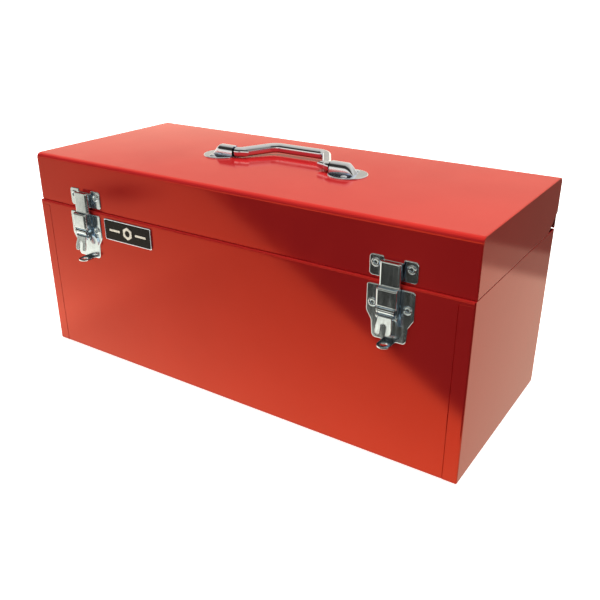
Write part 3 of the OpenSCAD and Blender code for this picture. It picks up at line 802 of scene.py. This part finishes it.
def latchLever(x, name, node):
    # lever: two barrels and a forked tongue that leans away from the box
    s = leverSize
    pivotY, pivotZ, linkY, linkZ = [latchSize[key] for key in ("pivotY", "pivotZ", "linkY", "linkZ")]
    fork, wide, narrow = s["fork"], s["wide"], s["narrow"]
    half = [(fork, s["slotTop"]), (fork, 0), (wide, 0), (wide, 7), (narrow, 12), (narrow, s["reach"] + 1)]
    bends = [2.5, 1.0, 2.5, 4, 6, 0]
    loop = filleted(bothSides(half), bends + bends[::-1], True)
    tilt = math.radians(s["tilt"])

    def toSpace(p, h):
        v = p[..., 1] - s["reach"]
        y = linkY - 2 - h * math.cos(tilt) + v * math.sin(tilt)
        z = linkZ + v * math.cos(tilt) + h * math.sin(tilt)
        return np.stack([p[..., 0], y, z], -1)

    parts = [barrel(narrow, s["pivotR"], pivotY, pivotZ), barrel(narrow, s["linkR"], linkY, linkZ),
             stamping(loop, s["t"], s["rim"], toSpace, 0.3)]
    body = "lever_" + node.split("_")[-1]
    return makePiece(name, [shifted(p, x) for p in parts], body, "bright_nickel", [node], corner=40)


pinSize = dict(r=1.5, linkHalf=10.1, linkHead=0.6, pivotHalf=8.2, pivotHead=0.3)


def pin(name, node, xs, half, head, y, z, body):
    # riveted-over pin: a shank with domed ends
    r = pinSize["r"]
    a = np.linspace(0, math.pi / 2, 5)
    end = np.stack([r * np.cos(a), half - head + head * np.sin(a)], 1)
    end[-1, 0] = 0.01
    profile = np.concatenate([end[::-1] * [1, -1], end])
    shanks = [turned(profile, (x, y, z), 1, 28) for x in xs]
    return makePiece(name, shanks, body, "bright_nickel", [node], corner=50)


for side, x in (("Left", -latchX), ("Right", latchX)):
    low = side.lower()
    latchBase(x, "latchBase" + side, "latch_base_" + low)
    latchStrike(x, "latchStrike" + side, "latch_strike_" + low)
    latchClaw(x, "latchClaw" + side, "latch_claw_" + low)
    latchLever(x, "latchLever" + side, "latch_lever_" + low)
    pin("linkPin" + side, "latch_link_pin_" + low, [x], pinSize["linkHalf"], pinSize["linkHead"],
        latchSize["linkY"], latchSize["linkZ"], "lever_" + low)
pin("pivotPins", "latch_pivot_pins", [-latchX, latchX], pinSize["pivotHalf"], pinSize["pivotHead"],
    latchSize["pivotY"], latchSize["pivotZ"], "body")
eyelets("baseEyelets", "latch_base_rivets", boxFront - latchSize["t"], latchSize["rivetZ"], "body")
eyelets("strikeEyelets", "latch_strike_rivets", lidFront - latchSize["t"], strikeSize["rivetZ"], "lid")
print("latches made")


badgeLow, badgeHigh = edges("badge_frame")
badgeSize = dict(rim=1.3, t=1.6, corner=2.0, panelCorner=0.9, panelBack=0.8, panelT=0.5, nut=7.0, hole=3.4,
                 nutT=0.3, barX=18.5, barL=15.0, barH=2.4)


def roundBox(x0, x1, z0, z1, r):
    return filleted([(x0, z0), (x1, z0), (x1, z1), (x0, z1)], [r] * 4, True)


def badge():
    # badge: a rolled rim round a sunk black panel that carries a raised nut between two bars
    s = badgeSize
    x0, x1, z0, z1 = badgeLow[0], badgeHigh[0], badgeLow[2], badgeHigh[2]
    loop = roundBox(x0, x1, z0, z1, s["corner"])
    n = lineNormals(loop, True)
    a = np.linspace(0, math.pi, 9)
    inset = np.concatenate([[0.1, 0], s["rim"] / 2 * (1 - np.cos(a)), [s["rim"] + 0.1, s["rim"] + 0.1]])
    up = np.concatenate([[0, 0.2], s["t"] - 0.55 + 0.55 * np.sin(a), [s["t"] / 2, 0]])
    flat = loop[None] - n[None] * inset[:, None, None]
    grid = onFront(boxFront)(flat, np.broadcast_to(up[:, None], flat.shape[:2]))
    makePiece("badgeFrame", [rings(grid)], "body", "chrome_plate", ["badge_frame"])
    gap = s["rim"] + 0.1
    sunk = roundBox(x0 + gap, x1 - gap, z0 + gap, z1 - gap, s["panelCorner"])
    panel = stamping(sunk, s["panelT"], 0.1, onFront(boxFront - s["panelBack"]))
    makePiece("badgePanel", [panel], "body", "black_enamel", ["badge_panel"])
    cx, cz = (x0 + x1) / 2, (z0 + z1) / 2
    ground = boxFront - s["panelBack"] - s["panelT"]
    k = np.linspace(0, 2 * math.pi, 61)[:-1]
    # distance to a hexagon's edge at each angle, as a share of its corner radius
    hexagon = math.cos(math.pi / 6) / np.cos((k + math.pi / 6) % (math.pi / 3) - math.pi / 6)
    high = s["nutT"]
    rows = []
    for shape, r, h in ((hexagon, s["nut"], 0), (hexagon, s["nut"], high - 0.08),
                        (hexagon, s["nut"] - 0.3, high), (1, s["hole"] + 0.3, high),
                        (1, s["hole"], high - 0.08), (1, s["hole"], 0)):
        flat = np.stack([cx + r * shape * np.cos(k), cz + r * shape * np.sin(k)], -1)
        rows.append(onFront(ground)(flat, np.full(len(k), float(h))))
    nut = rings(np.stack(rows), wrapRows=True)
    bars = []
    for side in (-1, 1):
        middle = cx + side * s["barX"]
        outline = roundBox(middle - s["barL"] / 2, middle + s["barL"] / 2,
                           cz - s["barH"] / 2, cz + s["barH"] / 2, 0.5)
        bars.append(stamping(outline, s["nutT"], 0.1, onFront(ground)))
    makePiece("badgeEmblem", [nut, *bars], "body", "chrome_plate", material=emblemFoil)


badge()
print("badge made")


panLow, panHigh = edges("tray_pan")
tubeLow, tubeHigh = edges("tray_handle_tube")
traySize = dict(bend=2.0, hem=5.0, hemBend=1.4, earHalf=30.0, earTop=10.0, neckHalf=11.0, crownHalf=8.0)


def trayPan():
    # tray strip: hems turned in over both long walls
    s = traySize
    y0, y1, z0, z1 = panLow[1], panHigh[1], panLow[2], panHigh[2]
    line = [(y0 + s["hem"], z1), (y0, z1), (y0, z0), (y1, z0), (y1, z1), (y1 - s["hem"], z1)]
    b = s["bend"]
    part = folded(line, [0, s["hemBend"], b, b, s["hemBend"], 0], sheetT, [panLow[0], 0, panHigh[0]])
    return redPiece("trayPan", [part], "tray", ["tray_pan"], 0.2)


def trayEnd(side, name, node):
    # tray end with a raised ear that holds the tube
    s = traySize
    low, high = edges("tray_end_right")
    top = panHigh[2]
    tubeZ = (tubeLow[2] + tubeHigh[2]) / 2
    neck, crown, crownTop = s["neckHalf"], s["crownHalf"], tubeZ + s["earTop"]
    corners = [(low[1], low[2]), (high[1], low[2]), (high[1], top), (s["earHalf"], top), (neck, tubeZ + 2),
               (crown, crownTop), (-crown, crownTop), (-neck, tubeZ + 2), (-s["earHalf"], top), (low[1], top)]
    loop = filleted(corners, [2, 2, 2, 12, 12, 7, 7, 12, 12, 2], True)
    part = stamping(loop, sheetT, 0.3, onSide(low[0], 1))
    return redPiece(name, onSideOf(side, [part]), "tray", [node], 0.0)


def trayTube():
    # carrying tube with an open bore
    r = (tubeHigh[2] - tubeLow[2]) / 2
    x1 = tubeHigh[0]
    z = (tubeLow[2] + tubeHigh[2]) / 2
    end = np.array([[r, x1 - 0.3], [r - 0.3, x1], [r - 0.8, x1], [r - 1, x1 - 0.3]])
    profile = np.concatenate([end[1::-1] * [1, -1], end, end[:1:-1] * [1, -1]])
    a = np.linspace(0, 2 * math.pi, 48, endpoint=False)
    grid = np.zeros((len(profile), len(a), 3))
    grid[:, :, 0] = profile[:, 1][:, None]
    grid[:, :, 1] = profile[:, 0][:, None] * np.cos(a)
    grid[:, :, 2] = z + profile[:, 0][:, None] * np.sin(a)
    return makePiece("trayTube", [rings(grid, wrapRows=True)], "tray", "chrome_plate",
                     ["tray_handle_tube"])


trayPan()
trayEnd(1, "trayEndRight", "tray_end_right")
trayEnd(-1, "trayEndLeft", "tray_end_left")
trayTube()
print("tray made")


def stagePlane(name, corners, material):
    mesh = bpy.data.meshes.new(name)
    mesh.from_pydata(corners, [], [list(range(len(corners)))])
    plane = bpy.data.objects.new(name, mesh)
    bpy.context.scene.collection.objects.link(plane)
    mesh.materials.append(material)
    plane.visible_diffuse = False
    plane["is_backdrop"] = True
    return plane


def softSun(name, shines, power, spread):
    # even light from one side of the studio; spread is its width in degrees, so shadows are soft
    light = bpy.data.lights.new(name, "SUN")
    light.energy = power
    light.angle = math.radians(spread)
    lamp = bpy.data.objects.new(name, light)
    lamp.rotation_mode = "QUATERNION"
    lamp.rotation_quaternion = Vector(shines).to_track_quat("-Z", "Y")
    lamp.visible_glossy = False
    bpy.context.scene.collection.objects.link(lamp)
    return lamp


stageSize = dict(floor=6.0, drop=-0.0006, paper=0.86, edge=440.0, edgeSoft=9.0, turn=33.39,
                 viewX=421.0, viewY=-604.0, warm=(1.0, 0.88, 0.68, 1.0))


def floor():
    # pale paper floor
    s = stageSize
    p = Paint("paperFloor", Roughness=0.9, Specular_IOR_Level=0.1, Emission_Strength=0.8,
              Emission_Color=(1, 1, 1, 1))
    darker, lighter = (s["paper"],) * 3, (s["paper"] + 0.01,) * 3
    p.feed("Base Color", p.ramp(p.noise(0.8, 2.0), [(0.3, darker), (0.7, lighter)]))
    w, z = s["floor"], s["drop"]
    stagePlane("floor", [(-w, -w, z), (w, -w, z), (w, w, z), (-w, w, z)], p.material)


def ease(v, a, b):
    # from 0 at a to 1 at b along a smooth curve, 3 t^2 - 2 t^3
    t = np.clip((v - a) / (b - a), 0, 1)
    return t * t * (3 - 2 * t)


def reflectedBrightness(x, y):
    # what the box's faces see in the floor: brightest close to the front, fading outwards
    s = stageSize
    away = np.maximum(boxFront - y, 0)
    bright = 0.82 + 1.2 * np.exp(-away / 200)
    bright += 0.9 * np.exp(-away / 150) * ease(-x, 240, 330)
    bright = np.where(y > boxFront, 1.0, bright)
    # a dark stretch in front, which ends in a line square to the view
    turn = math.radians(s["turn"])
    ahead = -math.sin(turn) * (x - s["viewX"]) + math.cos(turn) * (y - s["viewY"])
    behind = ease(ahead, -320, -120)
    dark = (1 - ease(ahead, s["edge"] - s["edgeSoft"], s["edge"] + s["edgeSoft"])) * behind
    # a dark round spot to the left
    spot = np.exp(-((x + 670) / 75) ** 2 - ((y + 600) / 55) ** 2)
    bright *= (1 - 0.96 * dark) * (1 - 0.97 * spot)
    bright += 0.6 * (1 - behind)
    # the ground past the right end falls off in two steps
    beyond = 0.55 * ease(y, 385, 425) + 0.27 * ease(y, 500, 522)
    return bright * (1 - beyond * ease(x, 255, 300))


def reflectedFloor():
    # a card just over the floor that only reflections see
    far, near = 6000, 1000
    steps = np.concatenate([np.linspace(-far, -near, 20)[:-1], np.linspace(-near, near, 161),
                            np.linspace(near, far, 20)[1:]])
    x, y = np.meshgrid(steps, steps, indexing="ij")
    bright = reflectedBrightness(x, y)
    pts = np.stack([x, y, np.full_like(x, -0.3)], -1).reshape(-1, 3) * mm
    mesh = bpy.data.meshes.new("reflectedFloor")
    mesh.from_pydata(pts.tolist(), [], gridFaces(len(steps), len(steps)).tolist())
    glowing = mesh.attributes.new("glow", "FLOAT", "POINT")
    glowing.data.foreach_set("value", bright.ravel().astype(np.float32))
    card = bpy.data.objects.new("reflectedFloor", mesh)
    bpy.context.scene.collection.objects.link(card)
    material = bpy.data.materials.new("reflectedLight")
    material.use_nodes = True
    tree = material.node_tree
    tree.nodes.clear()
    read = tree.nodes.new("ShaderNodeAttribute")
    read.attribute_name = "glow"
    shader = tree.nodes.new("ShaderNodeEmission")
    out = tree.nodes.new("ShaderNodeOutputMaterial")
    shader.inputs["Color"].default_value = stageSize["warm"]
    tree.links.new(read.outputs["Fac"], shader.inputs["Strength"])
    tree.links.new(shader.outputs[0], out.inputs["Surface"])
    mesh.materials.append(material)
    card.visible_camera = False
    card.visible_diffuse = False
    card.visible_shadow = False
    card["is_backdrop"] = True


def world():
    # pale to the eye; in reflections a bright wall behind the box, a softer light above it, a dark room in
    # front and a bright horizon. Less of it falls on the surfaces than what shines in them.
    w = bpy.data.worlds.new("studio")
    bpy.context.scene.world = w
    w.use_nodes = True
    tree = w.node_tree
    nodes, links = tree.nodes, tree.links
    nodes.clear()

    def calc(op, a, b=None, clamp=False):
        node = nodes.new("ShaderNodeMath")
        node.operation = op
        node.use_clamp = clamp
        for i, value in enumerate((a, b)):
            if value is None:
                continue
            if isinstance(value, (int, float)):
                node.inputs[i].default_value = value
            else:
                links.new(value, node.inputs[i])
        return node.outputs[0]

    def band(source, stops):
        node = nodes.new("ShaderNodeValToRGB")
        node.color_ramp.interpolation = "EASE"
        while len(node.color_ramp.elements) < len(stops):
            node.color_ramp.elements.new(0.5)
        for element, (at, value) in zip(node.color_ramp.elements, stops):
            element.position = at
            element.color = (value, value, value, 1)
        links.new(source, node.inputs["Fac"])
        return node.outputs["Color"]

    coords = nodes.new("ShaderNodeTexCoord")
    split = nodes.new("ShaderNodeSeparateXYZ")
    links.new(coords.outputs["Generated"], split.inputs[0])
    up = calc("ADD", calc("MULTIPLY", split.outputs[2], 0.5), 0.5)
    backward = calc("ADD", calc("MULTIPLY", split.outputs[1], 0.5), 0.5)
    sideways = calc("ADD", calc("MULTIPLY", split.outputs[0], 0.5), 0.5)
    wall = calc("MULTIPLY", band(up, [(0.62, 0.85), (0.72, 1.3), (0.85, 1.1), (1.0, 1.0)]),
                band(backward, [(0.0, 0), (0.34, 0.0), (0.56, 1), (1, 1)]))
    across = band(sideways, [(0.0, 0.6), (0.2, 0.66), (0.42, 0.8), (0.6, 0.7), (1, 0.6)])
    wall = calc("MULTIPLY", wall, across)
    horizon = calc("MULTIPLY", band(up, [(0.42, 0), (0.47, 1), (0.56, 1), (0.62, 0)]),
                   band(sideways, [(0.0, 1), (0.5, 1), (0.64, 0.4), (1, 0.3)]))
    wall = calc("MAXIMUM", wall, band(up, [(0.82, 0), (0.94, 0.6)]))
    total = calc("ADD", calc("ADD", wall, horizon), 0.04)
    path = nodes.new("ShaderNodeLightPath")
    mix = nodes.new("ShaderNodeMix")
    mix.data_type = "FLOAT"
    links.new(path.outputs["Is Camera Ray"], mix.inputs["Factor"])
    softer = calc("ADD", calc("MULTIPLY", path.outputs["Is Diffuse Ray"], -0.6), 1.0)
    links.new(calc("MULTIPLY", total, softer), mix.inputs["A"])
    mix.inputs["B"].default_value = 1.1
    shade = nodes.new("ShaderNodeBackground")
    links.new(mix.outputs["Result"], shade.inputs["Strength"])
    tint = nodes.new("ShaderNodeMix")
    tint.data_type = "RGBA"
    tint.inputs[6].default_value = stageSize["warm"]
    tint.inputs[7].default_value = (1, 1, 1, 1)
    links.new(path.outputs["Is Camera Ray"], tint.inputs["Factor"])
    links.new(tint.outputs[2], shade.inputs["Color"])
    out = nodes.new("ShaderNodeOutputWorld")
    links.new(shade.outputs[0], out.inputs["Surface"])


def camera():
    s = dict(at=(0.4212, -0.6044, 0.4061), azimuth=33.39, elevation=24.35, lens=43.47, sensor=36.0)
    data = bpy.data.cameras.new("camera")
    data.lens = s["lens"]
    data.sensor_width = s["sensor"]
    data.clip_start = 0.02
    data.clip_end = 60
    cam = bpy.data.objects.new("camera", data)
    cam.location = s["at"]
    a, e = math.radians(s["azimuth"]), math.radians(s["elevation"])
    ahead = Vector((-math.sin(a) * math.cos(e), math.cos(a) * math.cos(e), -math.sin(e)))
    cam.rotation_mode = "QUATERNION"
    cam.rotation_quaternion = ahead.to_track_quat("-Z", "Y")
    bpy.context.scene.collection.objects.link(cam)
    bpy.context.scene.camera = cam


floor()
reflectedFloor()
world()
softSun("overhead", (-0.04, -0.2, -1.0), 3.1, 40)
softSun("frontFill", (0.45, 0.85, -0.35), 1.2, 70)
camera()
bpy.context.scene.view_settings.view_transform = "Standard"
print("stage made")

low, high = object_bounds()
